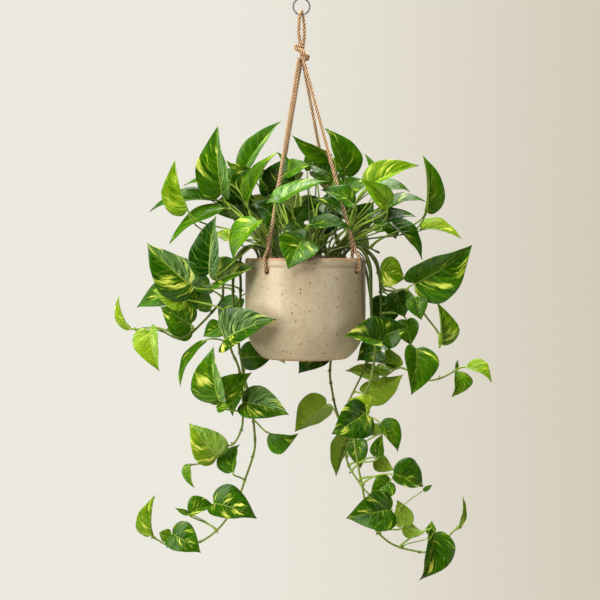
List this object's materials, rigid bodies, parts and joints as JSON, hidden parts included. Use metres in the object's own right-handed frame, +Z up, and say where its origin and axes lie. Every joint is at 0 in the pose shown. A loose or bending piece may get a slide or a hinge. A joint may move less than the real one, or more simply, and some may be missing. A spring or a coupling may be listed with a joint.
{
  "type": "potted pothos plant in a hanging pot",
  "caption": "Variegated pothos with a full crown and long trailing vines in a round glazed pot, hung by rope legs, a knot and a steel ring.",
  "frame": {"origin": "the point where a hook bears on the inner top of the hanging ring", "axes": "+Z up along the hanger, -Y towards the plant's front, +X to its right; the pot's axis is 5.5 mm to the right of the hook"},
  "size_m": [0.5003, 0.2232, 0.7685],
  "materials": {
    "leaf": "glossy variegated leaf, green with yellow-green streaks",
    "glaze": "satin speckled stoneware glaze",
    "soil": "rough potting soil",
    "jute": "laid jute rope",
    "steel": "dark steel wire"
  },
  "bodies": {
    "root": {"hang_ring": "steel", "rope_loop": "jute", "rope_knot": "jute", "rope_leg_front_left": "jute", "rope_leg_front_right": "jute", "rope_leg_back_right": "jute", "rope_leg_back_left": "jute", "pot": "glaze", "soil": "soil", "crown_left": "leaf", "crown_left_mid": "leaf", "crown_centre": "leaf", "crown_right_mid": "leaf", "crown_right": "leaf", "crown_far_right": "leaf", "crown_inner": "leaf", "crown_front": "leaf", "crown_left_front": "leaf", "vine_left_long": "leaf", "vine_left_inner": "leaf", "vine_left_outer": "leaf", "vine_right_outer": "leaf", "vine_right_mid": "leaf", "vine_right_long": "leaf", "vine_right_inner": "leaf", "vine_back": "leaf", "vine_back_left": "leaf", "crown_back_right": "leaf", "crown_back": "leaf", "crown_back_left": "leaf"}
  },
  "joints": []
}
